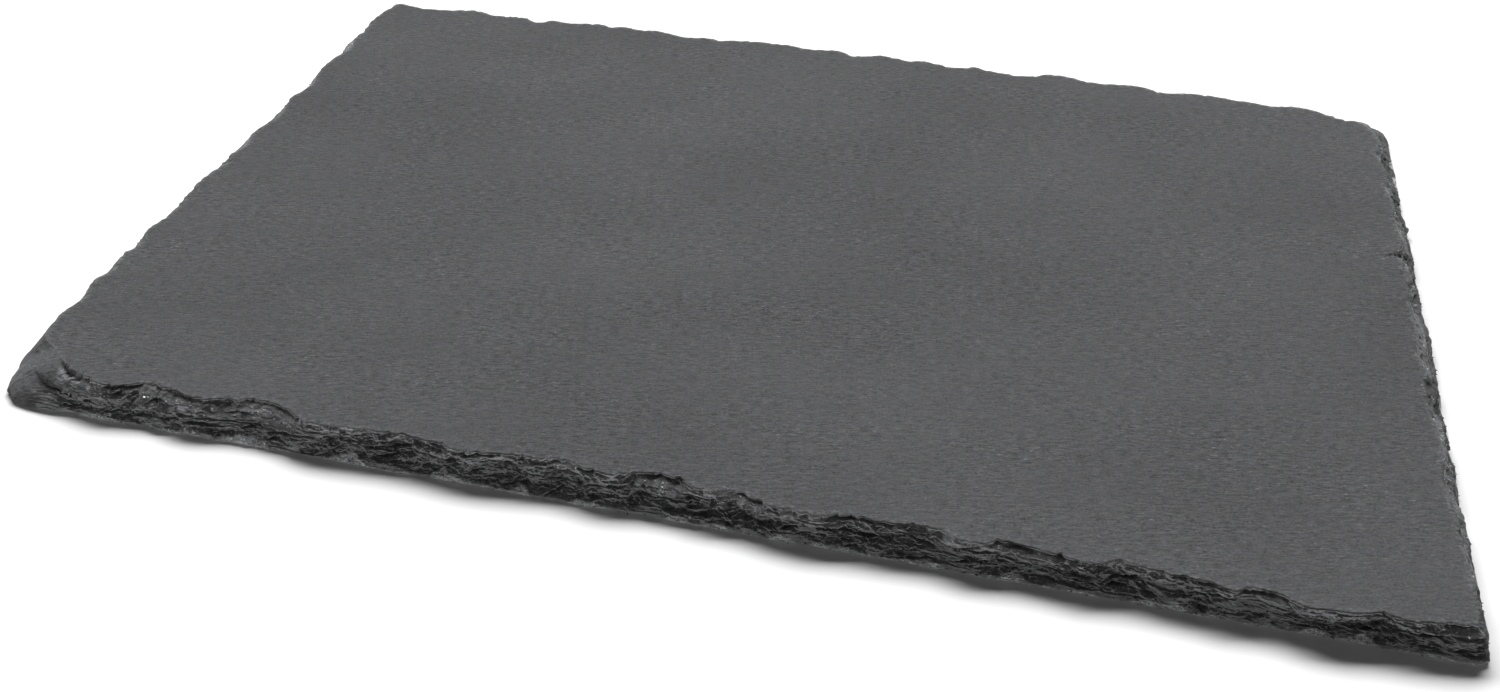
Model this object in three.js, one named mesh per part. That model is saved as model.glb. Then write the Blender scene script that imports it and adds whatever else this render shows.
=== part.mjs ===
// Slate slab: a thin rectangle of riven slate with hand-dressed edges.
//
// It is one piece of stone. Its two large faces are flat, because the slate
// split along its layers. Its four edges were broken from above, so each one
// slopes from the arris, the line where the top face ends, out to the rim, a
// thin lip just above the underside. The front left corner has lost its upper
// layers and tapers away to the rim.
//
// Millimetres. +X runs along the long side to the right, +Y from the front
// edge to the back edge, +Z up. The origin is under the middle of the slab, on
// the surface that it rests on.

import * as THREE from 'three';

// ---- Driving dimensions ----------------------------------------------------

const LENGTH = 300; // rim to rim along X
const WIDTH = 200; // rim to rim along Y
const THICKNESS = 6; // underside to top face
const STATIONS = 480; // places around the edge where its slope is built

const HALF_LENGTH = LENGTH / 2;
const HALF_WIDTH = WIDTH / 2;

// The rim has three rounded corners, and a worn one at the front left. Its
// right side draws in a little towards the front.
const FRONT_RIGHT_RADIUS = 2.5;
const BACK_RIGHT_RADIUS = 6;
const BACK_LEFT_RADIUS = 3;
const RIGHT_TAPER = 0.8; // how far the right side has drawn in at the front
const RIM_RIPPLE = 0.5; // how far chips bite into the rim
const UNDERSIDE_INSET = 0.4; // the flat underside stops short of the rim

// How the broken edge falls from the arris to the rim: height as a share of
// the thickness, and how far out, as a share of the way from arris to rim.
const SLOPE = [
  { height: 0.1, out: 1 },
  { height: 0.37, out: 0.8 },
  { height: 0.6, out: 0.52 },
  { height: 0.8, out: 0.25 },
];
const FLAKE_DEPTH = 0.12; // how much flake scars vary the way out

// Half the size of the plain rectangle that the edge directions start from.
const CORE_HALF_LENGTH = HALF_LENGTH - 20;
const CORE_HALF_WIDTH = HALF_WIDTH - 20;

// ---- Outlines, anticlockwise as seen from above ----------------------------

// The arris, scalloped where the hammer took flakes off, as [x, y] points.
const FRONT_ARRIS = [
  [-131, -93], [-125, -94.5], [-120, -96], [-113, -93], [-108, -93.3], [-103, -94.8],
  [-98, -95], [-93, -93.4], [-88, -92.5], [-82, -93.2], [-76, -96], [-70, -96],
  [-60, -95.5], [-50, -95.8], [-41, -97], [-35, -96], [-27, -95.4], [-22, -94.4],
  [-17, -95.6], [-10, -96.3], [-6, -94.4], [0, -93.8], [5, -95.3], [8.5, -95.8],
  [12, -94.7], [17, -95.9], [21, -97], [30, -97.5], [33.5, -96.6], [36, -95.9],
  [40, -96.7], [46, -96.1], [51, -95.7], [56, -97.2], [60, -97.5], [64, -96],
  [70, -96.3], [77, -97.2], [82, -97], [84.5, -95.2], [89, -96.3], [95, -97.2],
  [101, -97.3], [105, -98.5], [108, -97], [113, -97.5], [117, -99.2], [122, -99],
  [127, -98.3], [130, -97.3], [135, -98.3], [140, -97], [146, -96],
];
const RIGHT_ARRIS = [
  [146.8, -92], [146.3, -80], [146.2, -68], [145, -57], [145.8, -48], [145.2, -33],
  [146, -22], [144.6, -16], [145.6, -9], [145.2, 4], [146, 15], [145.6, 21],
  [144, 24.5], [146, 28], [145.3, 40], [146, 50], [144.7, 54.5], [145.5, 61],
  [145.2, 69], [143.9, 74], [145.2, 79],
];
const BACK_ARRIS = [
  [145, 83.5], [144.2, 87], [142.5, 89.8], [140, 91.9], [137.5, 91.7], [133, 94],
  [128, 95.8], [123.5, 96.5], [119, 95.2], [110, 96.2], [104, 97], [95, 97],
  [89, 95.6], [83, 97.7], [77, 97.9], [70, 97.1], [65, 98.2], [60, 99.3], [56, 99],
  [51.5, 96.6], [42.5, 96.6], [35, 98.3], [30.5, 96.6], [20, 98.5], [17, 97.7],
  [7, 99], [5, 97.8], [0, 97.2], [-5.5, 99], [-13, 97.9], [-22, 99.2], [-34, 98.4],
  [-40, 97], [-44.5, 97.6], [-50.5, 96.5], [-61, 98.5], [-65.5, 97.7], [-70, 98.6],
  [-74.5, 97.8], [-79, 98.7], [-88, 96.9], [-93.5, 97.5], [-96, 95.4], [-103, 97.3],
  [-110.5, 96.6], [-119.5, 98.4], [-127, 96.6], [-134, 95.7], [-139, 96.4], [-144.5, 97],
];
const LEFT_ARRIS = [
  [-145.5, 92], [-146.3, 83], [-145.4, 76], [-146, 71], [-143.8, 64], [-145.5, 58],
  [-145.9, 48.5], [-143.9, 40], [-145.8, 31], [-144, 22], [-145.6, 12], [-144.5, 4],
  [-145.7, -1], [-144.8, -7.5], [-146.2, -13], [-145.5, -24], [-144.6, -33],
  [-146.1, -39], [-144.5, -47], [-145.7, -50], [-144.2, -57], [-145.7, -61.5],
  [-143.9, -69], [-145, -75], [-143, -84], [-138.5, -87], [-134, -90.5],
];

// The worn front left corner of the rim, from the left edge to the front edge.
const WORN_CORNER = [
  [-149.3, -74], [-148, -82], [-148.8, -85.5], [-147.3, -89], [-147.1, -94.3],
  [-145.6, -97.4], [-142, -99.3], [-138, -100],
];

function toVectors(points) {
  return points.map(([x, y]) => new THREE.Vector2(x, y));
}

// One point of the arris for each station, evenly spaced along it.
function arrisOutline() {
  const points = [...FRONT_ARRIS, ...RIGHT_ARRIS, ...BACK_ARRIS, ...LEFT_ARRIS];
  const knots = points.map(([x, y]) => new THREE.Vector3(x, y, 0));
  const curve = new THREE.CatmullRomCurve3(knots, true, 'centripetal');
  curve.arcLengthDivisions = 4 * STATIONS;
  return curve.getSpacedPoints(STATIONS).slice(0, STATIONS);
}

// The rim before it is chipped: straight sides, arcs and the worn corner.
function rimOutline() {
  const [start, end] = [WORN_CORNER[0], WORN_CORNER[WORN_CORNER.length - 1]];
  const quarter = Math.PI / 2;
  const path = new THREE.Path();
  path.moveTo(end[0], end[1]);
  const frontRightX = HALF_LENGTH - RIGHT_TAPER - FRONT_RIGHT_RADIUS;
  path.lineTo(frontRightX, -HALF_WIDTH);
  path.absarc(frontRightX, FRONT_RIGHT_RADIUS - HALF_WIDTH,
    FRONT_RIGHT_RADIUS, -quarter, 0);
  path.lineTo(HALF_LENGTH, 0);
  path.lineTo(HALF_LENGTH, HALF_WIDTH - BACK_RIGHT_RADIUS);
  path.absarc(HALF_LENGTH - BACK_RIGHT_RADIUS, HALF_WIDTH - BACK_RIGHT_RADIUS,
    BACK_RIGHT_RADIUS, 0, quarter);
  path.lineTo(BACK_LEFT_RADIUS - HALF_LENGTH, HALF_WIDTH);
  path.absarc(BACK_LEFT_RADIUS - HALF_LENGTH, HALF_WIDTH - BACK_LEFT_RADIUS,
    BACK_LEFT_RADIUS, quarter, 2 * quarter);
  path.lineTo(start[0], start[1]);
  path.splineThru(toVectors(WORN_CORNER.slice(1)));
  return path.getPoints(24);
}

// ---- The broken edge -------------------------------------------------------

// The way out of the stone at a point: straight across a side, and fanned out
// round a corner.
function outwardAt(point) {
  const core = new THREE.Vector2(
    THREE.MathUtils.clamp(point.x, -CORE_HALF_LENGTH, CORE_HALF_LENGTH),
    THREE.MathUtils.clamp(point.y, -CORE_HALF_WIDTH, CORE_HALF_WIDTH));
  return new THREE.Vector2(point.x, point.y).sub(core).normalize();
}

// How far a ray from a point travels before it crosses the outline.
function distanceToOutline(point, direction, outline) {
  let nearest = Infinity;
  for (let i = 0; i < outline.length; i++) {
    const a = outline[i];
    const b = outline[(i + 1) % outline.length];
    const side = new THREE.Vector2().subVectors(b, a);
    const gap = new THREE.Vector2().subVectors(a, point);
    const turn = direction.cross(side);
    const along = gap.cross(side) / turn;
    const share = gap.cross(direction) / turn;
    if (along > 0 && share >= 0 && share <= 1) nearest = Math.min(nearest, along);
  }
  return nearest;
}

// A slow, uneven wave between -1 and 1 that differs from level to level. It
// repeats exactly once round the edge, so the rings close.
function flakeWave(station, level) {
  const turn = 2 * Math.PI * station / STATIONS;
  return (Math.sin(61 * turn + 1.7 * level) + Math.sin(97 * turn + 4.1 * level)
    + Math.sin(23 * turn + 2.3 * level)) / 3;
}

// The rings of the edge, from the underside up to the arris.
function edgeRings() {
  const rim = rimOutline();
  const rings = [];
  for (let level = 0; level < SLOPE.length + 2; level++) rings.push([]);
  arrisOutline().forEach((arris, station) => {
    const outward = outwardAt(arris);
    const chip = RIM_RIPPLE * (1 + flakeWave(station, 0)) / 2;
    const run = distanceToOutline(arris, outward, rim) - chip;
    const place = (distance, height) => new THREE.Vector3(
      arris.x + outward.x * distance, arris.y + outward.y * distance, height);
    rings[0].push(place(run - UNDERSIDE_INSET, 0));
    SLOPE.forEach(({ height, out }, index) => {
      const flake = index === 0 ? 0 : FLAKE_DEPTH * flakeWave(station, index);
      rings[index + 1].push(place(run * (out + flake), THICKNESS * height));
    });
    rings[SLOPE.length + 1].push(place(0, THICKNESS));
  });
  return rings;
}

// Chips make the rim a hair too small or off centre, so the rings are brought
// back to the slab's nominal length and width.
function fitToSize(rings) {
  const box = new THREE.Box3().setFromPoints(rings.flat());
  const size = box.getSize(new THREE.Vector3());
  const centre = box.getCenter(new THREE.Vector3());
  for (const point of rings.flat()) {
    point.x = (point.x - centre.x) * LENGTH / size.x;
    point.y = (point.y - centre.y) * WIDTH / size.y;
  }
}

// ---- The stone -------------------------------------------------------------

// Joins the rings with triangles and closes the flat faces above and below.
function closedStone(rings) {
  const corner = (level, station) => level * STATIONS + station % STATIONS;
  const faces = [];
  for (let level = 0; level < rings.length - 1; level++) {
    for (let station = 0; station < STATIONS; station++) {
      const low = [corner(level, station), corner(level, station + 1)];
      const high = [corner(level + 1, station), corner(level + 1, station + 1)];
      faces.push(low[0], low[1], high[1], low[0], high[1], high[0]);
    }
  }
  const top = rings.length - 1;
  for (const [a, b, c] of THREE.ShapeUtils.triangulateShape(rings[top], [])) {
    faces.push(corner(top, a), corner(top, b), corner(top, c));
  }
  for (const [a, b, c] of THREE.ShapeUtils.triangulateShape(rings[0], [])) {
    faces.push(corner(0, a), corner(0, c), corner(0, b));
  }
  const geometry = new THREE.BufferGeometry().setFromPoints(rings.flat());
  geometry.setIndex(faces);
  geometry.computeVertexNormals();
  return geometry;
}

function buildSlab() {
  const rings = edgeRings();
  fitToSize(rings);
  const slate = new THREE.MeshStandardMaterial({
    color: 0x505153, roughness: 0.8, metalness: 0, flatShading: true,
  });
  const slab = new THREE.Mesh(closedStone(rings), slate);
  slab.name = 'slab';
  return slab;
}

const model = new THREE.Group();
model.add(buildSlab());

export default model;
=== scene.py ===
# %% [markdown]
# # A slab of split slate
# Slate is stone in thin sheets. A quarryman splits it along them and breaks
# its sides off with a hammer. So a slab has two flat faces and four broken
# edges, and nearly all of its shape is in the edges. This notebook builds the
# slab as one closed mesh, at the size of a plain model that is ready first.
# Then it gives it a procedural slate finish, a studio and a camera.

# %% Load the plain model
import math

import bmesh
import bpy
import numpy as np
from mathutils import Matrix, Vector
from mathutils.geometry import delaunay_2d_cdt


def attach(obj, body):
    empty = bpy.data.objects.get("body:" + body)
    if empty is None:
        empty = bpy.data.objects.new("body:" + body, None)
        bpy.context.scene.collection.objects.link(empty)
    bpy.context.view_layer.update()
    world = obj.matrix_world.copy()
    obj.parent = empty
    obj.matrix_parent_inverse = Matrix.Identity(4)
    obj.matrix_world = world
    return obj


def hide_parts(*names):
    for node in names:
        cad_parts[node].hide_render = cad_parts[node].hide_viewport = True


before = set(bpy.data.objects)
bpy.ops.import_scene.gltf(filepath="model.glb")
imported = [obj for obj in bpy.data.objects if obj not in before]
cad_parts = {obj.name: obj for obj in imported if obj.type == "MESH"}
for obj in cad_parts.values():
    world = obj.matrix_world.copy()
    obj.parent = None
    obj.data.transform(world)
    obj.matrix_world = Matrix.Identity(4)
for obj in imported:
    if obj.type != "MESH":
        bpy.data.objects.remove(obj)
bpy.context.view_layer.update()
MM = 0.001

# %% [markdown]
# ## Where the flat faces end
# The plain model has rings of points at a few heights. The highest ring is
# the arris, the line where the top face ends. A low one is the rim, the
# furthest that the stone reaches. They could be typed in again, but reading
# them keeps both models the same. Each goes once round the middle, so sorting
# its points by angle puts them in order. All shapes here are in millimetres
# until the mesh is made.

# %% Read the arris and the rim
corners = np.array([v.co[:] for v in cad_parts["slab"].data.vertices]) / MM
corners = np.unique(corners.round(4), axis=0)
THICKNESS = corners[:, 2].max()
RIM_HEIGHT = 0.1 * THICKNESS
RING_SLACK = 0.05


def ring_at(height):
    points = corners[np.abs(corners[:, 2] - height) < RING_SLACK][:, :2]
    return points[np.argsort(np.arctan2(points[:, 1], points[:, 0]))]


arris_ring = ring_at(THICKNESS)
rim_ring = ring_at(RIM_HEIGHT)
print("points round the arris:", len(arris_ring), " round the rim:", len(rim_ring))

# %% [markdown]
# ## Stations round the edge
# The broken edge is shaped like a hedge that is clipped one slice at a time.
# At each station a slice runs from the arris out to the rim. The front edge
# is looked at most closely, so its stations are the closest. The way out at
# each one is measured from a plain rectangle inside the stone, and so the
# slices fan round the corners and never cross.

# %% Measure along and across a ring
FRONT_STEP = 0.3
OTHER_STEP = 0.95
FRONT_LINE = -88.0
CORE_MARGIN = 20.0
FINE_STEP = 0.05
NEARLY_NONE = 1e-9
half_size = corners[:, :2].max(axis=0)
core = half_size - CORE_MARGIN


def along_ring(ring, where):
    """Points on a smooth closed curve through the ring, at fractional indexes."""
    index = np.floor(where).astype(int)
    t = (where - index)[:, None]
    p0, p1, p2, p3 = (ring[(index + shift) % len(ring)] for shift in (-1, 0, 1, 2))
    bend = 2 * p0 - 5 * p1 + 4 * p2 - p3
    return p1 + 0.5 * t * (p2 - p0 + t * (bend + t * (3 * p1 - p0 - 3 * p2 + p3)))


def spread_stations(ring):
    """Stations a set step apart, with the shorter step along the front."""
    fine = np.arange(0, len(ring), FINE_STEP)
    points = along_ring(ring, fine)
    steps = np.linalg.norm(np.roll(points, -1, axis=0) - points, axis=1)
    wanted = np.where(points[:, 1] < FRONT_LINE, FRONT_STEP, OTHER_STEP)
    passed = np.concatenate([[0], np.cumsum(steps / wanted)])
    marks = np.linspace(0, passed[-1], int(passed[-1]), endpoint=False)
    return along_ring(ring, np.interp(marks, passed, np.append(fine, len(ring))))


def ways_out(points):
    away = points - np.clip(points, -core, core)
    return away / np.linalg.norm(away, axis=1)[:, None]


def cross(a, b):
    return a[..., 0] * b[..., 1] - a[..., 1] * b[..., 0]


def distance_to(ring, points, ways):
    """How far each point is from the ring along its own way out."""
    sides = np.roll(ring, -1, axis=0) - ring
    gaps = ring[None] - points[:, None]
    turns = cross(ways[:, None], sides[None])
    turns = np.where(np.abs(turns) < NEARLY_NONE, NEARLY_NONE, turns)
    along = cross(gaps, sides[None]) / turns
    share = cross(gaps, ways[:, None]) / turns
    met = (along > 0) & (share >= 0) & (share <= 1)
    return np.where(met, along, np.inf).min(axis=1)


print("plain rectangle inside the stone, half size, mm:", core.round(1))

# %% Place the stations
arris = spread_stations(arris_ring)
way_out = ways_out(arris)
run = distance_to(rim_ring, arris, way_out)
walk_line = np.clip(arris, -core, core) + way_out * CORE_MARGIN
walk_steps = np.linalg.norm(np.roll(walk_line, -1, axis=0) - walk_line, axis=1)
walk = np.concatenate([[0], np.cumsum(walk_steps)[:-1]])
AROUND = walk_steps.sum()
print("stations:", len(arris), " way round, mm:", round(AROUND, 1),
      " arris to rim, mm:", run.min().round(2), "to", run.max().round(2))

# %% [markdown]
# ## Noise for uneven stone
# Broken stone is random, but not evenly so. Smooth noise is a grid of random
# numbers with a soft blend between them. The cells here can be long and low,
# as slate breaks. Blender has noise of its own, but this noise can close up
# after one walk round the slab. Its absolute value makes sharp creases.

# %% Noise that closes round the edge


def random_grid(i, j, seed):
    mixed = (i.astype(np.uint32) * np.uint32(374761393)
             + j.astype(np.uint32) * np.uint32(668265263)
             + np.uint32(seed) * np.uint32(974711))
    mixed = (mixed ^ (mixed >> np.uint32(13))) * np.uint32(1274126177)
    mixed = (mixed ^ (mixed >> np.uint32(15))) * np.uint32(2246822519)
    return (mixed ^ (mixed >> np.uint32(16))) / 2.0**31 - 1


def noise(x, y, cell_x, cell_y, seed, around=None):
    """Smooth noise between -1 and 1. It repeats after `around` along x."""
    count = max(1, round(around / cell_x)) if around else 2**30
    x = x * count / around if around else x / cell_x
    y = y / cell_y
    i, j = np.floor(x), np.floor(y)
    s, t = x - i, y - j
    s, t = s * s * (3 - 2 * s), t * t * (3 - 2 * t)
    i, j = i.astype(np.int64), j.astype(np.int64)
    near, far = i % count, (i + 1) % count
    bottom = random_grid(near, j, seed) * (1 - s) + random_grid(far, j, seed) * s
    top = random_grid(near, j + 1, seed) * (1 - s) + random_grid(far, j + 1, seed) * s
    return bottom * (1 - t) + top * t


def rough(x, y, cell_x, cell_y, seed, around=None, octaves=3):
    """Noise with finer and fainter noise on top of it."""
    total = sum(noise(x, y, cell_x / 2**k, cell_y / 2**k, seed + 31 * k, around) / 2**k
                for k in range(octaves))
    return total / (2 - 2.0**(1 - octaves))


def blend(low, high, value):
    """A soft step from 0 at low to 1 at high. Low may be the larger one."""
    t = np.clip((value - low) / (high - low), 0, 1)
    return t * t * (3 - 2 * t)


round_trip = np.array([0.0, AROUND])
print("noise before and after one walk round:",
      noise(round_trip, 0 * round_trip, 4.0, 1.0, 1, AROUND).round(3))

# %% [markdown]
# ## The slope before it is broken
# From the arris the stone falls to the rim like a ramp in some places, and
# like a wall in others. Each slice first gets a plain profile: how far out it
# is at every height. The worn corner at the front left is different. There
# the top face slopes gently down and ends in a thin lip. Its rows are shared
# out along that slope, because it is much wider than it is high.

# %% Shape the plain slope
ROWS = 38
heights = np.linspace(0, THICKNESS, ROWS)
U, H = np.meshgrid(walk, heights, indexing="ij")
X, Y = np.repeat(arris[:, :1], ROWS, 1), np.repeat(arris[:, 1:], ROWS, 1)
RUN = np.repeat(run[:, None], ROWS, 1)
UNDERCUT = 0.3
MIDDLE_LEAN = 1.25
LEAN_SPREAD = 0.55
WORN_FROM_X, WORN_FULLY_X = -131.5, -135.5
WORN_FROM_Y, WORN_FULLY_Y = -72, -82
WORN_PROFILE = [
    # share of the rows from below, height in mm, share of the way out
    (0.0, 0.0, 0.97), (0.08, 0.35, 1.0), (0.16, 0.8, 0.995), (0.26, 1.3, 0.97),
    (0.4, 2.0, 0.86), (0.6, 3.3, 0.62), (0.8, 4.7, 0.34), (1.0, 6.0, 0.0),
]

lean = MIDDLE_LEAN + LEAN_SPREAD * noise(U, 0 * U, 23.0, 1.0, 11, AROUND)
climb = np.clip((H - RIM_HEIGHT) / (THICKNESS - RIM_HEIGHT), 0, 1)
ramp = 1 - climb**lean
tuck = np.clip(1 - H / RIM_HEIGHT, 0, 1) ** 1.5 * UNDERCUT / RUN
worn = blend(WORN_FROM_X, WORN_FULLY_X, X) * blend(WORN_FROM_Y, WORN_FULLY_Y, Y)
worn_rows, worn_heights, worn_outs = zip(*WORN_PROFILE)
worn_share = np.interp(H / THICKNESS, worn_rows, worn_outs)
worn_height = np.interp(H / THICKNESS, worn_rows, worn_heights)
worn_run = run[worn[:, 0] > 0.5]
print("stations on the worn corner:", len(worn_run),
      " its width, mm:", worn_run.min().round(1), "to", worn_run.max().round(1))

# %% [markdown]
# ## Sheets in the stone
# The sheets show on a broken edge as thin scales, each a little further in
# or out than the next. Real layers would take hundreds of pieces. Instead,
# each height is given the number of the sheet that it lies in, and all of one
# sheet goes in or out together. The breaks between sheets wander up and down
# on their own, so that the scales swell, thin out and end as real ones do.
# Close to the arris and the rim, and on the worn corner, all this is held
# back, because the shapes of the two lines have to stay.

# %% Step the slope into sheets
SHEET_BREAKS = np.array([
    0.45, 0.85, 1.3, 1.65, 2.1, 2.5, 2.95, 3.4, 3.8, 4.2, 4.65, 5.0, 5.4, 5.7])
LOWEST_MIDDLE = 0.2
HIGHEST_MIDDLE = 5.9
SLOW_WANDER = 0.42
QUICK_WANDER = 0.1
BREAK_LANE = 9.0
SHEET_LANE = 7.0
SHIFT_SIZE = 0.34
TEETH_SIZE = 0.26
PUSHED_OUT = 0.3
sheet_middles = np.concatenate([
    [LOWEST_MIDDLE], (SHEET_BREAKS[1:] + SHEET_BREAKS[:-1]) / 2, [HIGHEST_MIDDLE]])
sheet = np.zeros(H.shape, int)
for rank, height in enumerate(SHEET_BREAKS):
    lane = np.full(U.shape, BREAK_LANE * rank)
    wander = SLOW_WANDER * noise(U, lane, 17.0, 1.0, 21, AROUND)
    wander += QUICK_WANDER * noise(U, lane, 3.0, 1.0, 22, AROUND)
    sheet += H > height + wander

stepped = 1 - np.clip((sheet_middles[sheet] - RIM_HEIGHT) / (THICKNESS - RIM_HEIGHT), 0, 1) ** lean
stepping = 0.1 + 0.45 * blend(-0.3, 0.6, noise(U, H, 14.0, 2.0, 23, AROUND))
share = ramp + (stepped - ramp) * stepping
share = share + (worn_share - share) * worn - tuck
loose_rim = 0.15 + 0.85 * blend(0.4, 1.9, H)
loose_arris = 0.12 + 0.88 * blend(THICKNESS, THICKNESS - 0.5, H)
loose = loose_rim * loose_arris * (1 - 0.93 * worn)
restless = 0.35 + 0.65 * blend(-0.4, 0.2, noise(U, H, 8.0, 3.2, 27, AROUND))
lane = SHEET_LANE * sheet
sheet_shift = SHIFT_SIZE * rough(U, lane, 7.0, 1.0, 24, AROUND, octaves=4)
sheet_teeth = -TEETH_SIZE * np.abs(noise(U, lane, 1.9, 1.0, 28, AROUND)) * restless
out = RUN * share + (sheet_shift + sheet_teeth + PUSHED_OUT) * loose
print("sheets:", len(SHEET_BREAKS) + 1)

# %% [markdown]
# ## Flake scars
# Each hammer blow takes off a flake and leaves a shallow dish with a crisp
# border. Where dishes meet, they leave the sharp ridges that make broken
# stone look broken. Noise alone gives soft lumps. So dishes of three sizes
# are taken out one by one, and at each point the deepest one wins.

# %% Take off the flakes
FLAKES = [
    # how far apart, half length, half height, depth
    (9.0, (3.0, 9.0), (1.0, 2.4), (0.4, 1.2)),
    (1.4, (0.9, 3.2), (0.4, 1.3), (0.3, 0.9)),
    (0.35, (0.35, 1.2), (0.2, 0.6), (0.12, 0.42)),
]
LARGE_SPACING = 5.0
WARP_ALONG = 0.8
WARP_UP = 0.3
WARP_MARGIN = 1.5
LOWEST_CENTRE = 0.3
SLANT = 0.12
FLAT_SHARE = 0.5
ROOMY_RUN = 3.0
LEAST_ROOM = 0.35
dice = np.random.default_rng(7)


def take_flakes(spacing, lengths, tall, depths):
    deepest = np.zeros_like(H)
    warp_u = WARP_ALONG * noise(U, H, 2.6, 0.9, 41, AROUND)
    warp_h = WARP_UP * noise(U, H, 2.2, 1.1, 42, AROUND)
    for centre in dice.uniform(0, AROUND, int(AROUND / spacing)):
        length, height, depth = dice.uniform(*lengths), dice.uniform(*tall), dice.uniform(*depths)
        level, slant = dice.uniform(LOWEST_CENTRE, THICKNESS), dice.normal(0, SLANT)
        gap = (walk - centre + AROUND / 2) % AROUND - AROUND / 2
        near = np.abs(gap) < length + WARP_MARGIN
        side = (gap[near, None] + warp_u[near]) / length
        rise = (H[near] - level + warp_h[near] - slant * gap[near, None]) / height
        dish = depth * np.clip(1 - side**2 - rise**2, 0, FLAT_SHARE) / FLAT_SHARE
        deepest[near] = np.maximum(deepest[near], dish)
    return deepest


room = np.clip(RUN / ROOMY_RUN, LEAST_ROOM, 1.0)
for spacing, lengths, tall, depths in FLAKES:
    calm = 1 if spacing > LARGE_SPACING else restless
    taken = take_flakes(spacing, lengths, tall, depths) * loose * room * calm
    out -= taken
    print("flakes", spacing, "mm apart, deepest", taken.max().round(2), "mm")

# %% [markdown]
# ## Splits between the sheets
# Here and there two sheets have parted, and a thin dark split runs along the
# edge under a lip. Each is a line from one place and height to another. Those
# along the front follow the real slab's own, because their pattern is what
# makes this slab itself, and dice would not hit on it. The other sides get
# dice.

# %% List the splits of the front
FRONT_SPLITS = [
    # x and height in mm at each end, then depth
    (-121.5, 5.7, -113.5, 5.65, 1.7), (-121, 4.8, -115, 4.75, 0.8), (-131, 0.9, -129.3, 2.6, 1.1),
    (-128.5, 2.2, -123.5, 3.2, 0.9), (-121.5, 1.2, -117.5, 2.9, 1.1), (-107.5, 5.75, -97, 5.8, 1.3),
    (-112, 3.7, -107.5, 4.6, 0.9), (-103, 2.2, -94.5, 2.3, 0.7), (-95, 0.6, -93.5, 1.7, 0.8),
    (-90.5, 2.1, -86.5, 3.1, 1.0), (-92.5, 5.8, -77, 5.7, 1.0), (-86, 0.9, -80.5, 2.4, 1.0),
    (-84, 2.7, -73, 3.9, 0.8), (-63, 5.8, -51, 5.8, 0.5), (-64, 3.4, -52, 4.1, 0.8),
    (-60, 2.0, -54.5, 2.9, 0.9), (-46.5, 2.7, -41.5, 3.5, 0.9), (-43, 5.2, -32, 5.8, 1.1),
    (-40, 2.2, -36.5, 3.2, 1.2), (-33, 1.2, -27.5, 1.7, 1.0), (-24.5, 0.5, -20, 2.4, 1.0),
    (-20, 2.4, -13.5, 3.0, 1.0), (-19, 5.75, -12, 5.7, 1.0), (-9, 5.7, 7.5, 5.75, 1.1),
    (-6, 2.8, -2.5, 3.7, 0.7), (8.5, 1.0, 14.5, 1.6, 1.2), (19.5, 0.9, 23, 2.8, 1.1),
    (23, 2.8, 26.5, 3.3, 1.2), (13, 5.8, 20, 5.75, 1.0), (31, 5.4, 50, 5.75, 1.2),
    (29.5, 4.0, 37, 3.5, 1.0), (37, 3.5, 44.5, 3.4, 1.0), (44, 4.7, 52.5, 3.5, 0.9),
    (43, 0.6, 53, 1.8, 1.0), (53, 1.8, 63, 3.2, 1.0), (55.5, 4.2, 60.5, 5.4, 0.9),
    (61.5, 5.8, 71, 5.8, 1.2), (71, 5.75, 82.5, 5.4, 1.3), (65.5, 2.1, 70, 3.8, 1.0),
    (70, 3.8, 82, 2.3, 1.1), (82, 2.3, 87.5, 2.9, 1.0), (83, 3.5, 90.5, 4.2, 0.9),
    (84, 5.8, 104.5, 5.75, 0.8), (97, 3.8, 106.5, 4.6, 0.9), (105, 5.3, 113.5, 5.7, 0.8),
    (112, 3.0, 131, 3.3, 1.8), (116, 1.6, 128, 1.9, 1.5), (126, 4.0, 138, 2.2, 1.6),
    (130, 5.75, 136, 5.7, 0.7), (134, 4.0, 147, 4.4, 1.1), (140, 5.4, 146, 5.5, 1.0),
    (136, 1.6, 147, 2.2, 0.9),
]
print("splits at the front:", len(FRONT_SPLITS))

# %% Open the splits
OTHER_SPLITS = 110
OTHER_LENGTHS = (3, 17)
OTHER_HEIGHTS = (0.6, 5.8)
OTHER_DEPTHS = (0.5, 1.2)
OTHER_SLANT = 0.05
SPLIT_HALF_GAP = 0.28
ARRIS_HALF_GAP = 0.34
SPLIT_WAVER = 0.16
STEEP_LOSS = 1.5
LIP_RISE, LIP_HALF, LIP_SHARE = 0.45, 0.35, 0.3
HOLLOW_DROP, HOLLOW_HALF, HOLLOW_SHARE = 0.4, 0.4, 0.25
CORNER_TURN = 0.75
shade_in_splits = np.zeros_like(H)


def open_split(places, start, end, low, high, depth):
    """Cuts a split, with a lip above it and a hollow below, from start to end."""
    depth = depth / (1 + STEEP_LOSS * abs(high - low) / (end - start))
    along = (places - start) / (end - start)
    inside = (along > 0) & (along < 1)
    t = along[inside, None]
    waver = SPLIT_WAVER * noise(U[inside], 0 * H[inside], 2.2, 1.0, 51, AROUND)
    line = low + (high - low) * t + waver
    fade = np.sqrt(np.sin(np.pi * t)) * loose_arris[inside]
    gap = H[inside] - line
    half_gap = SPLIT_HALF_GAP + (ARRIS_HALF_GAP - SPLIT_HALF_GAP) * (line > THICKNESS - 1)
    groove = np.clip(1 - np.abs(gap) / half_gap, 0, 1)
    lip = np.clip(1 - np.abs(gap - LIP_RISE) / LIP_HALF, 0, 1)
    hollow = np.clip(1 - np.abs(gap + HOLLOW_DROP) / HOLLOW_HALF, 0, 1)
    out[inside] += depth * fade * (LIP_SHARE * lip - groove - HOLLOW_SHARE * hollow)
    # Keep the groove's depth, to paint shade into the split in the finish.
    shade_in_splits[inside] = np.maximum(shade_in_splits[inside], depth * fade * groove)


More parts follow.
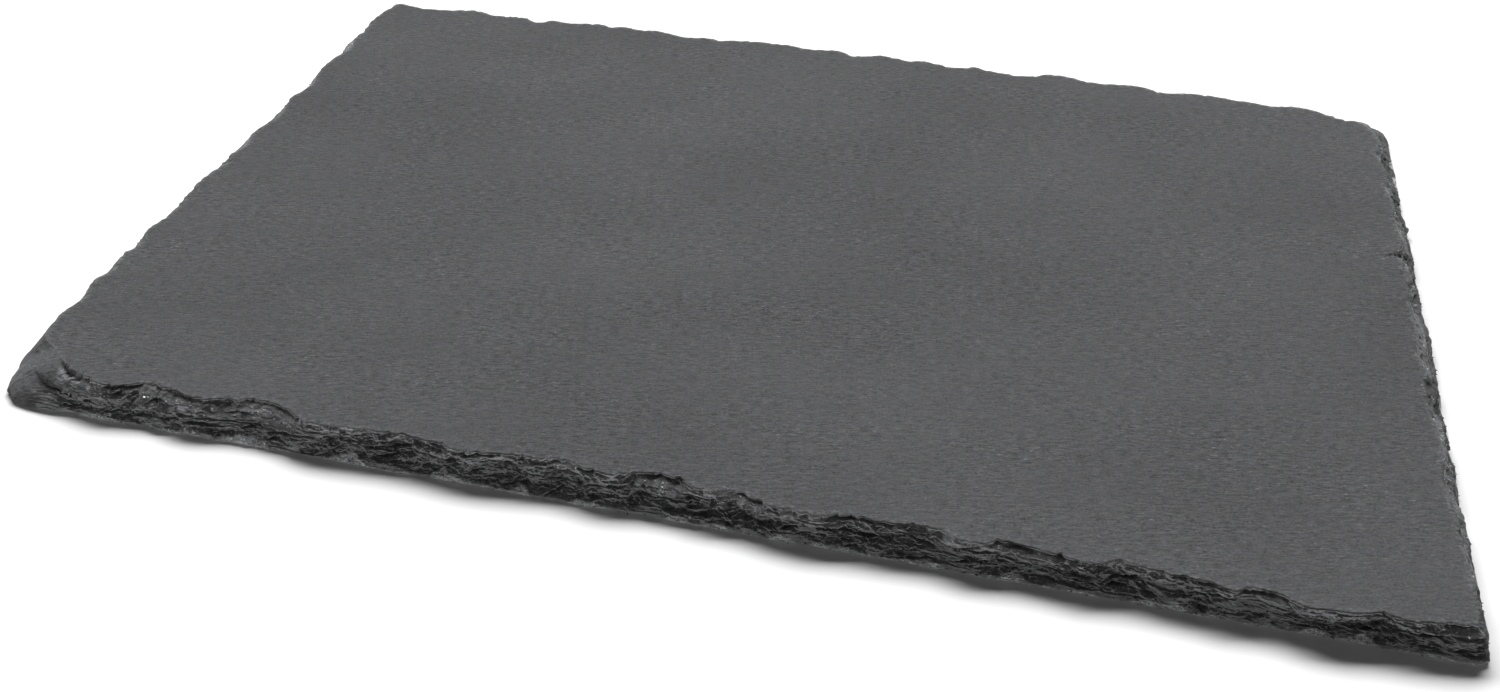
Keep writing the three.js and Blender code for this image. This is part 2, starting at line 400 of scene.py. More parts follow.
is_front = (arris[:, 1] < FRONT_LINE) & (np.abs(way_out[:, 0]) < CORNER_TURN)
front_places = np.where(is_front, arris[:, 0], np.inf)
other_places = np.where(is_front, np.inf, walk)
for start, low, end, high, depth in FRONT_SPLITS:
    open_split(front_places, start, end, low, high, depth)
for _ in range(OTHER_SPLITS):
    start, length = dice.uniform(0, AROUND), dice.uniform(*OTHER_LENGTHS)
    low, depth = dice.uniform(*OTHER_HEIGHTS), dice.uniform(*OTHER_DEPTHS)
    high = low + dice.normal(0, OTHER_SLANT) * length
    open_split(other_places, start, start + length, low, high, depth)
print("splits on the other sides:", OTHER_SPLITS)

# %% [markdown]
# ## The arris and the rim
# The arris is not a smooth line: the hammer and wear have nicked it. The rim
# took the blow that broke the slab, and it is crushed to a narrow crumbly
# band just above the underside. Both are short, sharp noise. Creases and
# folds roughen all of the break between them.

# %% Nick the arris and crush the rim
NICK_SIZE = 0.8
NICK_LEVEL = 0.15
FINE_NICK_SIZE = 0.3
JAG_SIZE = 0.1
CREASE_SIZE = 0.26
FOLD_SIZE = 0.25
CRUMB_SIZE = 0.2
WORN_BITE = 0.9
FURTHEST_IN = 1.3
FURTHEST_OUT = 0.25
HEIGHT_SHAKE = 0.035
nicks = NICK_SIZE * np.clip(noise(U, 0 * U, 1.3, 1.0, 71, AROUND) - NICK_LEVEL, 0, 1)
nicks += FINE_NICK_SIZE * np.abs(noise(U, 0 * U, 0.7, 1.0, 72, AROUND))
near_arris = blend(THICKNESS - 1.0, THICKNESS - 0.3, H)
crushed = blend(1.6, 0.3, H + 1.1 * noise(U, H, 4.0, 9.0, 63, AROUND))
jag = noise(U, H, 0.45, 0.24, 62, AROUND)
creases = np.abs(noise(U, H, 1.1, 0.4, 64, AROUND))
folds = np.abs(noise(U + 1.5 * H, H, 2.6, 1.1, 66, AROUND))
out -= nicks * near_arris * (1 - 0.8 * worn)
out += (JAG_SIZE * jag - CREASE_SIZE * creases - FOLD_SIZE * folds) * loose * restless
out += CRUMB_SIZE * crushed * jag * (1 - 0.5 * worn)
out -= WORN_BITE * np.abs(noise(U, 0 * U, 4.0, 1.0, 67, AROUND)) * worn * worn_share
out = np.clip(out, -FURTHEST_IN, RUN + FURTHEST_OUT)
edge_xy = arris[:, None, :] + way_out[:, None, :] * out[:, :, None]
edge_z = H + (worn_height - H) * worn
edge_z += HEIGHT_SHAKE * noise(U, H, 0.6, 0.2, 65, AROUND) * (H > 0) * (H < THICKNESS)
edge = np.concatenate([edge_xy, edge_z[:, :, None]], axis=2)
print("edge points:", edge.shape[0] * edge.shape[1])

# %% [markdown]
# ## Cracks on the face side
# Three cracks show from above. Two run into the worn corner, where the stone
# beyond them has dropped a little, and one cuts in from the right edge. Each
# is a path of a few points. Stone close to the path is pressed down: on both
# sides for an open crack, and on the right of the path for a drop.

# %% Press down beside the cracks
CRACKS = [
    # depth, reach to the left and reach to the right in mm, then the path
    (0.9, 0.12, 3.2, [
        (-140.2, -93.0), (-137.8, -93.9), (-135.5, -95.1), (-132, -96.2), (-127, -97.6)]),
    (0.8, 0.12, 1.6, [(-135.4, -89.4), (-133.8, -91.0), (-131.2, -92.9), (-128.5, -93.8)]),
    (0.8, 0.45, 0.45, [(141, 22), (142.8, 23.6), (144.2, 24.4), (147, 26.2)]),
]
CRACK_RUN_IN = 4.0
LINE_RUN_IN = 3.0
LINE_HALF_WIDTH = 0.35
LINE_START = 0.3
UNPRESSED_BELOW, FULLY_PRESSED_ABOVE = 0.6, 2.0


def beside_path(points, path):
    """How far points are from a path, which side, and how far along it."""
    nearest = np.full(points.shape[:-1], np.inf)
    side, place = np.zeros_like(nearest), np.zeros_like(nearest)
    passed = 0.0
    for start, end in zip(np.array(path[:-1]), np.array(path[1:])):
        stretch = end - start
        length = np.linalg.norm(stretch)
        along = np.clip((points - start) @ stretch / length**2, 0, 1)
        gap = np.linalg.norm(points - start - along[..., None] * stretch, axis=-1)
        closer = gap < nearest
        side = np.where(closer, cross(stretch, points - start), side)
        place = np.where(closer, passed + along * length, place)
        nearest = np.minimum(nearest, gap)
        passed += length
    return nearest, side, place


def pressed_down(points):
    """How far the cracks press the stone down at these places, in mm."""
    total = np.zeros(points.shape[:-1])
    for depth, left_reach, right_reach, path in CRACKS:
        gap, side, place = beside_path(points, path)
        reach = np.where(side > 0, left_reach, right_reach)
        total += depth * np.clip(1 - gap / reach, 0, 1) * np.clip(place / CRACK_RUN_IN, 0, 1)
    return total


def crack_shade_lines(points):
    """1 on a crack and 0 a little way off it, for painted shade along the crack."""
    lines = np.zeros(points.shape[:-1])
    for _, _, _, path in CRACKS:
        gap, _, place = beside_path(points, path)
        strength = LINE_START + np.clip(place / LINE_RUN_IN, 0, 0.7)
        lines = np.maximum(lines, np.clip(1 - gap / LINE_HALF_WIDTH, 0, 1) * strength)
    return lines


gives_way = blend(UNPRESSED_BELOW, FULLY_PRESSED_ABOVE, edge[..., 2])
pressed = pressed_down(edge[..., :2]) * gives_way
edge[..., 2] -= pressed
# The crack lines join that mask, so painted shade darkens the cracks too.
shade_in_splits = np.maximum(shade_in_splits, crack_shade_lines(edge[..., :2]) * gives_way)
print("deepest press, mm:", pressed.max().round(2))

# %% [markdown]
# ## Fill the two faces
# The edge is a band of slices, open above and below. Each opening is filled
# with flat triangles between the outermost points, a few rings inside them
# and a loose grid. Delaunay's rule picks the roundest triangles that these
# points allow. The points are shaken a little, so that no rows show.

# %% Points inside a face
TOP_STEP = 2.4
UNDERSIDE_STEP = 6.0
RINGS_INSIDE = [
    # how far inside the edge, and every how many stations
    (0.7, 2), (1.7, 4),
]
PATCH_STEP = 0.35
PATCH_REACH = 1.2
SHAKE_CELL = 0.37
SHAKE_SHARE = 0.3
GRID_MARGIN = 0.6


def shaken_grid(step, low, high, seed):
    """Points of a square grid, each a little out of its place."""
    gx, gy = np.meshgrid(np.arange(low[0], high[0], step), np.arange(low[1], high[1], step))
    gx, gy = gx.ravel(), gy.ravel()
    shake_x = noise(gx, gy, SHAKE_CELL * step, SHAKE_CELL * step, seed)
    shake_y = noise(gx, gy, SHAKE_CELL * step, SHAKE_CELL * step, seed + 1)
    shift = SHAKE_SHARE * step
    return np.stack([gx + shift * shake_x, gy + shift * shake_y], axis=1)


def depth_inside(loop, points):
    """How far inside a loop points lie. Those far inside all get the same."""
    base = np.clip(points, -core, core)
    away = np.linalg.norm(points - base, axis=1)
    depth = np.full(len(points), CORE_MARGIN / 2)
    near = away > CORE_MARGIN / 2
    ways = (points[near] - base[near]) / away[near][:, None]
    depth[near] = distance_to(loop, base[near], ways) - away[near]
    return depth


def crack_patch(loop):
    """Close points beside the cracks, so that the grooves show in the mesh."""
    patches = []
    for _, _, _, path in CRACKS:
        low, high = np.min(path, axis=0) - PATCH_REACH, np.max(path, axis=0) + PATCH_REACH
        points = shaken_grid(PATCH_STEP, low, high, 77)
        patches.append(points[beside_path(points, path)[0] < PATCH_REACH])
    points = np.concatenate(patches)
    return points[depth_inside(loop, points) > PATCH_STEP]


print("grid steps, mm:", TOP_STEP, "on top,", UNDERSIDE_STEP, "underneath")

# %% Fill a loop with triangles


def fill(loop, step, seed, extra):
    """Triangles inside a loop. Also says which given point each point was."""
    inner = [loop[::skip] - ways_out(loop[::skip]) * inset for inset, skip in RINGS_INSIDE]
    grid = shaken_grid(step, -half_size, half_size, seed)
    grid = grid[depth_inside(loop, grid) > RINGS_INSIDE[-1][0] + GRID_MARGIN * step]
    every = np.concatenate([loop, *inner, grid, extra])
    sides = [(i, (i + 1) % len(loop)) for i in range(len(loop))]
    points, _, triangles, sources, _, _ = delaunay_2d_cdt(
        [Vector(p) for p in every], sides, [], 1, 1e-6)
    return np.array([p[:] for p in points]), np.array(triangles), sources


top_loop = edge[:, -1, :2]
top_fill = fill(top_loop, TOP_STEP, 71, crack_patch(top_loop))
underside_fill = fill(edge[:, 0, :2], UNDERSIDE_STEP, 81, np.zeros((0, 2)))
print("triangles on the top:", len(top_fill[1]), " on the underside:", len(underside_fill[1]))

# %% [markdown]
# ## One closed mesh
# The band and the two faces share their outermost points, so the result is
# one closed skin. A few numbers ride along on its points for later steps:
# where the stone is broken or crushed, where painted shade darkens splits and
# cracks, where the break gets painted light near the top, where it is paler
# to the left along the front or dusty, where splinters may cling, and where a
# face is flat. The finish and the two modifiers after it read them by name.

# %% Join the band and the faces
columns = len(arris)


def band_triangles():
    """Two triangles for each square between stations, cut by turns."""
    i = np.arange(columns)
    j = (i + 1) % columns
    found = []
    for row in range(ROWS - 1):
        a, b, c, d = i * ROWS + row, j * ROWS + row, j * ROWS + row + 1, i * ROWS + row + 1
        turned = (i + row) % 2 == 0
        found.append(np.stack([a, b, np.where(turned, c, d)], axis=1))
        found.append(np.stack([np.where(turned, a, b), c, d], axis=1))
    return np.concatenate(found)


def face_triangles(filled, row, first_free):
    """New points of a face, and its triangles in the whole mesh's numbering."""
    points, triangles, sources = filled
    on_loop = np.array([min(source, default=columns) for source in sources])
    is_new = on_loop >= columns
    whole = np.where(is_new, first_free + np.cumsum(is_new) - 1, on_loop * ROWS + row)
    return points[is_new], whole[triangles]


top_points, top_triangles = face_triangles(top_fill, ROWS - 1, edge.size // 3)
low_points, low_triangles = face_triangles(underside_fill, 0, edge.size // 3 + len(top_points))
top_z = THICKNESS - pressed_down(top_points)
points = np.concatenate([
    edge.reshape(-1, 3),
    np.column_stack([top_points, top_z]),
    np.column_stack([low_points, np.zeros(len(low_points))]),
])
band = band_triangles()
triangles = np.concatenate([band, top_triangles, low_triangles[:, ::-1]])

mesh = bpy.data.meshes.new("slate_slab")
mesh.from_pydata((points * MM).tolist(), [], triangles.tolist())
mesh.update()
is_flat_shaded = np.arange(len(triangles)) < len(band)
mesh.polygons.foreach_set("use_smooth", ~is_flat_shaded)
slab = bpy.data.objects.new("slate_slab", mesh)
bpy.context.scene.collection.objects.link(slab)
print("points:", len(points), " triangles:", len(triangles))

# %% Hang the numbers on the points
on_faces = len(points) - edge.size // 3
DUST_REACH = 1.3
WORN_DUST = 0.95
# The break is painted paler towards the top, as the light its upper part catches, and made paler to
# the left along the front.
PAINTED_LIGHT_FROM, PAINTED_LIGHT_FULLY = 3.5, 5.2
PAINTED_LIGHT_AT_TOP = 0.65
PALE_PER_MM = 0.0022
PALE_MIDDLE_X = 10


def add_numbers(name, edge_values, face_values):
    """Hangs a set of numbers on the points, first the edge's, then the faces'."""
    values = np.concatenate([edge_values.ravel(), np.broadcast_to(face_values, on_faces)])
    mesh.attributes.new(name, "FLOAT", "POINT").data.foreach_set("value", values)


not_on_top = np.zeros(len(low_points))
# Painted shade along the cracks on the top face.
face_crack_shade = np.concatenate([crack_shade_lines(top_points), not_on_top])
face_dust = np.concatenate([np.exp(-depth_inside(top_loop, top_points) / DUST_REACH), not_on_top])
rough_break = 1 - worn
rim_dust = blend(THICKNESS - 1.2, THICKNESS, H) * rough_break
on_front = blend(-80, -90, Y) * blend(146, 136, X)
# Painted light near the top of the break, plus a paler left along the front.
paler = PAINTED_LIGHT_AT_TOP * blend(PAINTED_LIGHT_FROM, PAINTED_LIGHT_FULLY, H) + PALE_PER_MM * (PALE_MIDDLE_X - X) * on_front
add_numbers("broken", rough_break * blend(THICKNESS + 0.4, THICKNESS - 0.4, H), 0.0)
add_numbers("crushed", crushed, 0.0)
add_numbers("paler", paler, 0.0)
# Painted shade for the splits and cracks.
add_numbers("split", np.clip(shade_in_splits, 0, 1), face_crack_shade)
add_numbers("dusty", rim_dust + WORN_DUST * worn, face_dust)
add_numbers("splinters", rough_break * blend(THICKNESS - 0.2, THICKNESS - 0.7, H), 0.0)
add_numbers("flat_face", 0 * H, 1.0)
print("number sets:", [a.name for a in mesh.attributes if a.data_type == "FLOAT"])

# %% [markdown]
# ## Node maths as Python sums
# A finish is a tree of nodes, and most of the nodes do sums. A small class
# can wrap a socket, so that Python's own signs add the Math nodes. A second
# one adds every other node: its kind, then its settings, then its inputs.
# Both work in a shader and in Geometry Nodes, which share their Math nodes.

# %% Write nodes as sums


class Field:
    """A socket that can be used in Python sums."""

    def __init__(self, bench, socket):
        self.bench = bench
        self.socket = socket

    def sum(self, operation, *terms):
        return self.bench.node("ShaderNodeMath", {"operation": operation}, dict(enumerate(terms)))

    def __add__(self, other):
        return self.sum("ADD", self, other)

    def __sub__(self, other):
        return self.sum("SUBTRACT", self, other)

    def __rsub__(self, other):
        return self.sum("SUBTRACT", other, self)

    def __mul__(self, other):
        return self.sum("MULTIPLY", self, other)

    def __abs__(self):
        return self.sum("ABSOLUTE", self)

    def __gt__(self, other):
        return self.sum("GREATER_THAN", self, other)

    __radd__ = __add__
    __rmul__ = __mul__

    def other(self, name):
        """Another output of the same node."""
        return Field(self.bench, self.socket.node.outputs[name])


class Bench:
    """Adds nodes to one tree."""

    def __init__(self, tree):
        self.tree = tree

    def node(self, kind, settings=None, inputs=None, output=0):
        made = self.tree.nodes.new(kind)
        for name, value in (settings or {}).items():
            setattr(made, name, value)
        for name, value in (inputs or {}).items():
            for item in value if isinstance(value, list) else [value]:
                if isinstance(item, Field):
                    self.tree.links.new(item.socket, made.inputs[name])
                else:
                    made.inputs[name].default_value = item
        return Field(self, made.outputs[output]) if made.outputs else made

    def smooth(self, value, low, high):
        """0 below low, 1 above high, and a soft step between them."""
        return self.node("ShaderNodeMapRange", {"interpolation_type": "SMOOTHSTEP"},
                         {"Value": value, "From Min": low, "From Max": high})

    def stretched(self, position, cell):
        """Position counted in cells of these sizes, in mm."""
        per_metre = tuple(1 / (size * MM) for size in cell)
        return self.node("ShaderNodeVectorMath", {"operation": "MULTIPLY"},
                         {0: position, 1: per_metre})

    def grain(self, position, cell, seed, detail=2.0, roughness=0.5):
        """Noise from about -1 to 1, in cells of these sizes, in mm."""
        found = self.node("ShaderNodeTexNoise", {"noise_dimensions": "4D"}, {
            "Vector": self.stretched(position, cell), "W": float(seed), "Scale": 1.0,
            "Detail": detail, "Roughness": roughness})
        return 2 * found - 1


print("ready to write nodes")

# %% [markdown]
# ## The slate finish
# Slate is nearly black, and hardly shiny. Its faces carry a fine grain of
# short dashes that all run the same way, with cloudy patches, and a few pale
# specks. A fresh break is paler than a face, and crushed stone is paler
# still, because each tiny chip scatters light. The break is also painted
# paler towards the top, as painted light that its upper part catches, and it
# gets paler along the front from right to left. Its splits and cracks get
# painted shade. So one finish does it all: it mixes tones by what the points
# say and by which way a surface looks.

# %% Mix the tone of a face
FACE_TONE = 0.074
DUST_TONE = 0.2
GRAIN_TURNED = 13.5


def number(bench, name):
    """One of the sets of numbers that hang on the points."""
    found = bench.node("ShaderNodeAttribute", {"attribute_type": "GEOMETRY",
                                               "attribute_name": name})
    return found.other("Fac")


def mix(bench, factor, first, second):
    return first + (second - first) * factor


def face_tone(bench, place):
    """The tone of a split face, and its dashes for the bumps."""
    place = bench.node("ShaderNodeVectorRotate", {"rotation_type": "Z_AXIS"},
                       {"Vector": place, "Angle": -math.radians(GRAIN_TURNED)})
    clouds = bench.grain(place, (60, 45, 60), 1)
    patches = bench.smooth(bench.grain(place, (26, 14, 26), 2), -0.5, 0.6)
    dashes = bench.grain(place, (2.2, 0.55, 2.0), 3, roughness=0.7)
    long_dashes = bench.grain(place, (7.0, 1.1, 7.0), 4)
    speck = bench.grain(place, (1.5, 0.4, 1.0), 5, detail=1.5, roughness=0.7)
    speck = bench.smooth(speck, 0.19, 0.46)
    grit = bench.grain(place, (0.5, 0.38, 0.5), 6, detail=1.0)
    tone = 1 + 0.2 * clouds + dashes * (0.5 + 0.6 * patches) + 0.5 * grit + 0.2 * long_dashes
    dust = number(bench, "dusty") + 1.1 * bench.grain(place, (1.1, 0.7, 1), 7)
    dust = bench.smooth(dust, 0.45, 1.0)
    tone = FACE_TONE * (tone + 1.5 * speck * patches)
    return mix(bench, dust * (0.35 + 0.6 * speck), tone, DUST_TONE), dashes


print("tones of a face and its dust:", FACE_TONE, DUST_TONE)

# %% Mix the tone of a break
BREAK_TONE = 0.19
LEDGE_TONE = 0.078
CRUSHED_TONE = 0.33
FLECK_TONE = 0.75
# How much painted shade darkens the splits and cracks.
SPLIT_PAINTED_SHADE = 0.85


def break_tone(bench, place):
    """Broken stone's tone, with painted light and shade, and its mottle for the bumps."""
    mottle = bench.grain(place, (1.8, 1.3, 0.6), 11, roughness=0.7)
    upward = bench.node("ShaderNodeSeparateXYZ", None,
                        {0: bench.node("ShaderNodeNewGeometry").other("Normal")}).other("Z")
    ledge = bench.smooth(upward, 0.4, 0.85)
    crush = number(bench, "crushed") + 0.9 * bench.grain(place, (4, 4, 2), 13)
    crush = bench.smooth(crush, 0.35, 0.95)
    fleck = bench.grain(place, (0.7, 0.5, 0.25), 12, roughness=0.7) + 0.15 * crush
    clusters = bench.grain(place, (7, 7, 4), 15) + 0.4 * crush
    fleck = bench.smooth(fleck, 0.2, 0.4) * bench.smooth(clusters, -0.25, 0.25)
    grit = bench.grain(place, (0.5, 0.4, 0.25), 14, detail=1.0)
    mottle = 0.9 * mottle + 0.5 * grit
    tone = mix(bench, ledge, BREAK_TONE, LEDGE_TONE) * (1 + mottle)
    tone = mix(bench, crush, tone, CRUSHED_TONE * (1 + 1.5 * mottle))
    pale = bench.smooth(number(bench, "pale"), 0.6, 1.0)
    tone = mix(bench, fleck * (0.6 + 0.4 * crush) + 0.5 * pale, tone, FLECK_TONE)
    # Painted light: paler towards the top of the break, and paler to the left.
    tone = tone * (1 + number(bench, "paler"))
    # Painted shade darkens the splits and cracks.
    return tone * (1 - SPLIT_PAINTED_SHADE * number(bench, "split")), mottle


print("tones of a break, a ledge, crushed stone and a fleck:",
      BREAK_TONE, LEDGE_TONE, CRUSHED_TONE, FLECK_TONE)

# %% Put the finish together
DULL_ROUGHNESS = 0.95
SLATE_SPECULAR = 0.02
BUMP_HEIGHT = 0.02 * MM
RED_SHARE, BLUE_SHARE = 0.99, 1.025


def slate_finish():
    finish = bpy.data.materials.new("slate")
    finish.use_nodes = True
    bench = Bench(finish.node_tree)
    shader = finish.node_tree.nodes["Principled BSDF"]
    place = bench.node("ShaderNodeTexCoord", None, None, "Object")
    broken = number(bench, "broken") + 0.35 * bench.grain(place, (1.2, 0.9, 1), 21)
    broken = bench.smooth(broken, 0.3, 0.75)
    face, dashes = face_tone(bench, place)
    fresh, mottle = break_tone(bench, place)
    tone = mix(bench, broken, face, fresh)
    colour = bench.node("ShaderNodeCombineColor", None,
                        {0: tone * RED_SHARE, 1: tone, 2: tone * BLUE_SHARE})
    height = mix(bench, broken, dashes, 3 * mottle) + 0.5 * bench.grain(place, (0.4, 0.3, 0.3), 22)
    bump = bench.node("ShaderNodeBump", None,
                      {"Height": height, "Strength": 1.0, "Distance": BUMP_HEIGHT})
    links = finish.node_tree.links
    links.new(colour.socket, shader.inputs["Base Color"])
    links.new((DULL_ROUGHNESS - 0.4 * broken - 0.04 * dashes).socket, shader.inputs["Roughness"])
    links.new(bump.socket, shader.inputs["Normal"])
    shader.inputs["Specular IOR Level"].default_value = SLATE_SPECULAR
    return finish


slate = slate_finish()
print("nodes in the finish:", len(slate.node_tree.nodes))

# %% [markdown]
# ## Relief on the flat faces
# A split face is not as flat as a cut one. It swells and dips by a tenth of a
# millimetre, in long soft ripples. Geometry Nodes can add that along the
# whole surface by one rule. The underside may only hollow upward, because the
# slab rests on it.

# %% Build the relief
TOP_RELIEF = 0.11
UNDERSIDE_RELIEF = 0.3


def new_tree(name, inputs):
    """An empty Geometry Nodes tree with named inputs, and fields for them."""
    tree = bpy.data.node_groups.new(name, "GeometryNodeTree")
    tree.interface.new_socket("Geometry", in_out="OUTPUT", socket_type="NodeSocketGeometry")
    tree.interface.new_socket("Geometry", in_out="INPUT", socket_type="NodeSocketGeometry")
    for label, kind in inputs.items():
        tree.interface.new_socket(label, in_out="INPUT", socket_type="NodeSocket" + kind)
    bench = Bench(tree)
    return bench, bench.node("NodeGroupInput")


def end_tree(bench, geometry, finish):
    """Every tree ends the same way: real geometry, with its finish on."""
    solid = bench.node("GeometryNodeRealizeInstances", None, {"Geometry": geometry})
    done = bench.node("GeometryNodeSetMaterial", None, {"Geometry": solid, "Material": finish})
    bench.node("NodeGroupOutput", None, {"Geometry": done})
    return bench.tree


def attribute(bench, name):
    return bench.node("GeometryNodeInputNamedAttribute", {"data_type": "FLOAT"}, {"Name": name})


def relief_tree():
    bench, given = new_tree("riven_relief", {
        "Top Relief": "Float", "Underside Relief": "Float", "Middle Height": "Float",
        "Finish": "Material"})
    place = bench.node("GeometryNodeInputPosition")
    swell = bench.grain(place, (75, 45, 75), 31) + 0.35 * bench.grain(place, (16, 7, 16), 32)
    height = bench.node("ShaderNodeSeparateXYZ", None, {0: place}).other("Z")
    is_top = height > given.other("Middle Height")
    lift = is_top * swell * given.other("Top Relief")
    hollow = (1 - is_top) * abs(swell) * given.other("Underside Relief")
    offset = bench.node("ShaderNodeCombineXYZ", None,
                        {"Z": (lift + hollow) * attribute(bench, "flat_face")})
    moved = bench.node("GeometryNodeSetPosition", None,
                       {"Geometry": given.other("Geometry"), "Offset": offset})
    return end_tree(bench, moved, given.other("Finish"))


def add_modifier(tree, values):
    """Puts a tree on the slab and sets its inputs by their identifiers."""
    modifier = slab.modifiers.new(tree.name, "NODES")
    modifier.node_group = tree
    for item in tree.interface.items_tree:
        if item.in_out == "INPUT" and item.name in values:
            modifier[item.identifier] = values[item.name]


add_modifier(relief_tree(), {
    "Top Relief": TOP_RELIEF * MM, "Underside Relief": UNDERSIDE_RELIEF * MM,
    "Middle Height": THICKNESS / 2 * MM, "Finish": slate})
print("relief, mm:", TOP_RELIEF, "on top,", UNDERSIDE_RELIEF, "underneath")

# %% [markdown]
# ## Splinters on the broken edge
# Small flat splinters still cling to the sheets. They lie along the sheets,
# whichever way the broken surface looks. Two thousand such chips are a job
# for Geometry Nodes: they scatter points over the broken band, sink them a
# little into the stone, and put a thin chip with ten faces on each.

# %% Scatter the splinters
PER_SQUARE_METRE = 230000.0
SMALLEST = (0.12 * MM, 0.1 * MM, 0.05 * MM)
LARGEST = (0.7 * MM, 0.35 * MM, 0.13 * MM)
SINK = 0.08 * MM
TILT = 0.25


def splinter_tree():
    bench, given = new_tree("splinters", {
        "Per Square Metre": "Float", "Smallest": "Vector", "Largest": "Vector",
        "Sink": "Float", "Seed": "Int", "Finish": "Material"})
    stone, seed = given.other("Geometry"), given.other("Seed")
    scatter = bench.node("GeometryNodeDistributePointsOnFaces", {"distribute_method": "RANDOM"}, {
        "Mesh": stone, "Seed": seed,
        "Density": given.other("Per Square Metre") * attribute(bench, "splinters")})
    inward = bench.node("ShaderNodeVectorMath", {"operation": "SCALE"},
                        {0: scatter.other("Normal"), "Scale": -1 * given.other("Sink")})
    spots = bench.node("GeometryNodeSetPosition", None, {"Geometry": scatter, "Offset": inward})
    paleness = bench.node("FunctionNodeRandomValue", {"data_type": "FLOAT"},
                          {2: 0.0, 3: 1.0, "Seed": seed}, 1)
    for name, value in {"pale": paleness, "broken": 1.0}.items():
        spots = bench.node("GeometryNodeStoreNamedAttribute", {"data_type": "FLOAT"},
                           {"Geometry": spots, "Name": name, "Value": value})
    chip = bench.node("GeometryNodeMeshUVSphere", None, {"Segments": 5, "Rings": 2, "Radius": 1.0})
    turn = bench.node("FunctionNodeRandomValue", {"data_type": "FLOAT_VECTOR"},
                      {0: (-TILT, -TILT, 0.0), 1: (TILT, TILT, 2 * math.pi), "Seed": seed})
    size = bench.node("FunctionNodeRandomValue", {"data_type": "FLOAT_VECTOR"},
                      {0: given.other("Smallest"), 1: given.other("Largest"), "Seed": seed})
    chips = bench.node("GeometryNodeInstanceOnPoints", None,
                       {"Points": spots, "Instance": chip, "Rotation": turn, "Scale": size})
    joined = bench.node("GeometryNodeJoinGeometry", None, {"Geometry": [stone, chips]})
    return end_tree(bench, joined, given.other("Finish"))


add_modifier(splinter_tree(), {
    "Per Square Metre": PER_SQUARE_METRE, "Smallest": SMALLEST, "Largest": LARGEST,
    "Sink": SINK, "Seed": 5, "Finish": slate})
print("modifiers:", [m.name for m in slab.modifiers])

# %% [markdown]
# ## Turn the result into plain mesh
# A modifier is only a recipe. The finished part keeps none, so the result is
# copied into a mesh of its own, and the recipes are taken off. Then the mesh
# is tested: every side must lie between exactly two triangles.

# %% Bake the modifiers and test the mesh
baked = bpy.data.meshes.new_from_object(
    slab.evaluated_get(bpy.context.evaluated_depsgraph_get()))
slab.modifiers.clear()
slab.data = baked
baked.name = "slate_slab"

check = bmesh.new()
check.from_mesh(baked)
open_sides = sum(len(side.link_faces) != 2 for side in check.edges)
print("triangles:", len(check.faces), " open sides:", open_sides,
      " volume, cm3:", round(check.calc_volume() / MM**3 / 1000, 1))
check.free()

# %% [markdown]
# ## A bright studio
# The slab lies on a white table with one large soft light behind and above
# it. The near edge is in its own shade. It gets what comes back from the
# table, from a wall that glows softly, and from a weak light in front. The
# table curves up into the wall on all sides, as a roll of studio paper does,
# so that a low view has no hard horizon.

# %% Build the table and the wall
TABLE_RADIUS = 4.2
WALL_HEIGHT = 1.25
CURVE_RADIUS = 0.5
SPOKES = 96
TABLE_TONE = 0.9
WALL_TONE = 0.3
WALL_GLOW = 0.42


def plain_finish(name, tone, glow):
    finish = bpy.data.materials.new(name)
    finish.use_nodes = True
    shader = finish.node_tree.nodes["Principled BSDF"]
    shader.inputs["Base Color"].default_value = (tone, tone, tone, 1)
    shader.inputs["Roughness"].default_value = 1.0
    shader.inputs["Specular IOR Level"].default_value = 0.0
    shader.inputs["Emission Color"].default_value = (1, 1, 1, 1)
    shader.inputs["Emission Strength"].default_value = glow
    return finish


def swept_table():
    """A round table whose border curves up into a wall."""
    quarter = np.linspace(0, math.pi / 2, 12)
    radii = [0.001, *(TABLE_RADIUS - CURVE_RADIUS * (1 - np.sin(quarter))), TABLE_RADIUS]
    levels = [0.0, *(CURVE_RADIUS * (1 - np.cos(quarter))), WALL_HEIGHT]
    angles = np.arange(SPOKES) * 2 * math.pi / SPOKES
    places = [(r * math.cos(a), r * math.sin(a), z) for r, z in zip(radii, levels) for a in angles]
    squares = [(k * SPOKES + i, k * SPOKES + (i + 1) % SPOKES,
                (k + 1) * SPOKES + (i + 1) % SPOKES, (k + 1) * SPOKES + i)
               for k in range(len(radii) - 1) for i in range(SPOKES)]
    shape = bpy.data.meshes.new("studio_table")
    shape.from_pydata(places, [], squares + [tuple(range(SPOKES))])
    shape.materials.append(plain_finish("table", TABLE_TONE, 0.0))
    shape.materials.append(plain_finish("wall", WALL_TONE, WALL_GLOW))
    shape.polygons.foreach_set("use_smooth", [True] * len(shape.polygons))
    is_wall = [min(places[i][2] for i in square) > 0 for square in squares] + [False]
    shape.polygons.foreach_set("material_index", np.array(is_wall, int))
    return shape


table = bpy.data.objects.new("studio_table", swept_table())
bpy.context.scene.collection.objects.link(table)
print("table radius, m:", TABLE_RADIUS)

# %% Hang the lights
KEY_POWER = 620
FILL_POWER = 2
SKY_STRENGTH = 0.002


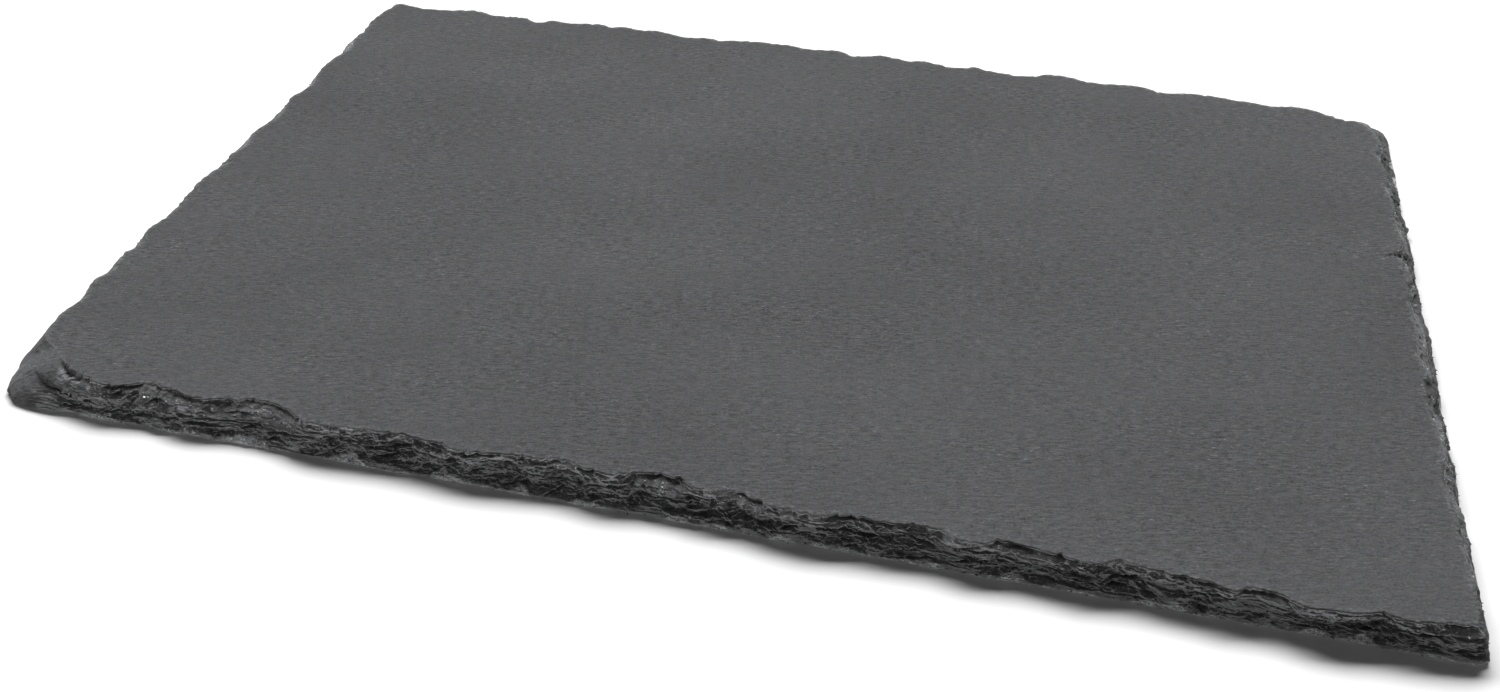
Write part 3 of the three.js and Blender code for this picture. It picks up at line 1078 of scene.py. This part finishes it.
def soft_box(name, elevation, turned, distance, size, power):
    """A rectangular light that looks at the slab. Angles in degrees, size in m."""
    up, round_z = math.radians(elevation), math.radians(turned)
    way = Vector((math.sin(round_z) * math.cos(up), math.cos(round_z) * math.cos(up), math.sin(up)))
    lamp = bpy.data.lights.new(name, "AREA")
    lamp.shape = "RECTANGLE"
    lamp.size, lamp.size_y = size
    lamp.energy = power
    light = bpy.data.objects.new(name, lamp)
    light.location = way * distance
    light.rotation_euler = (-way).to_track_quat("-Z", "Y").to_euler()
    bpy.context.scene.collection.objects.link(light)


soft_box("key_behind", 36, -14, 4.6, (5.6, 1.7), KEY_POWER)
soft_box("fill_in_front", 9, 210, 2.0, (2.4, 0.3), FILL_POWER)
world = bpy.data.worlds.new("studio")
world.use_nodes = True
world.node_tree.nodes["Background"].inputs["Color"].default_value = (1, 1, 1, 1)
world.node_tree.nodes["Background"].inputs["Strength"].default_value = SKY_STRENGTH
bpy.context.scene.world = world
bpy.context.scene.view_settings.view_transform = "Standard"

# %% [markdown]
# ## The camera
# The camera stands in front, right of the middle, and looks down on the slab
# from nearly 20 cm above the table. It is turned left, and it is rolled by
# half a degree, as if it were held by hand. The lens is given by its share of
# the sensor's width, so that it holds for a sensor of any size.

# %% Place the camera
CAMERA_PLACE = Vector((64.5, -296.4, 195.34)) * MM
TURNED_LEFT = 13.556
LOOKS_DOWN = 36.664
ROLLED = 0.539
LENS_PER_WIDTH = 0.98233

lens = bpy.data.cameras.new("camera")
lens.lens = LENS_PER_WIDTH * lens.sensor_width
camera = bpy.data.objects.new("camera", lens)
camera.matrix_world = (
    Matrix.Translation(CAMERA_PLACE)
    @ Matrix.Rotation(math.radians(TURNED_LEFT), 4, "Z")
    @ Matrix.Rotation(math.radians(90 - LOOKS_DOWN), 4, "X")
    @ Matrix.Rotation(math.radians(ROLLED), 4, "Z"))
bpy.context.scene.collection.objects.link(camera)
bpy.context.scene.camera = camera
print("camera lens, mm:", round(lens.lens, 2))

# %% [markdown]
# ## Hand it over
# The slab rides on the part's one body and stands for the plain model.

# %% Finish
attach(slab, "root")
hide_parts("slab")
